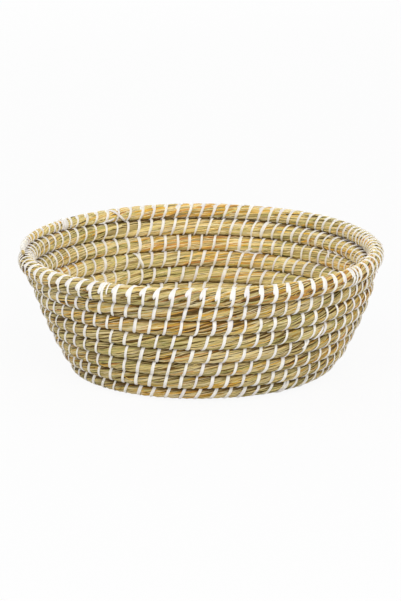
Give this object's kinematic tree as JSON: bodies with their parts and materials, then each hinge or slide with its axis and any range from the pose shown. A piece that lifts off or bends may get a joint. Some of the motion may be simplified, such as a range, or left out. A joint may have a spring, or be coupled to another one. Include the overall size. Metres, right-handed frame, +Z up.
{
  "type": "straw storage basket",
  "caption": "Round open storage basket of coiled straw, lashed in rows with narrow white plastic strip.",
  "frame": {"origin": "on the floor, under the middle of the base", "axes": "+Z up, out of the open mouth; -Y is the side that faces the camera in the picture, +X its right"},
  "size_m": [0.3458, 0.3479, 0.1226],
  "materials": {
    "straw": "matte",
    "white_strip": "gloss"
  },
  "bodies": {
    "root": {"straw_coil": "straw", "binding_strip_01": "white_strip", "binding_strip_02": "white_strip", "binding_strip_03": "white_strip", "binding_strip_04": "white_strip", "binding_strip_05": "white_strip", "binding_strip_06": "white_strip", "binding_strip_07": "white_strip", "binding_strip_08": "white_strip", "binding_strip_09": "white_strip", "binding_strip_10": "white_strip", "binding_strip_11": "white_strip", "binding_strip_12": "white_strip", "binding_strip_13": "white_strip", "binding_strip_14": "white_strip", "binding_strip_15": "white_strip", "binding_strip_16": "white_strip", "binding_strip_17": "white_strip", "binding_strip_18": "white_strip", "binding_strip_19": "white_strip", "binding_strip_20": "white_strip", "binding_strip_21": "white_strip", "binding_strip_22": "white_strip", "binding_strip_23": "white_strip", "binding_strip_24": "white_strip", "binding_strip_25": "white_strip"}
  },
  "joints": []
}
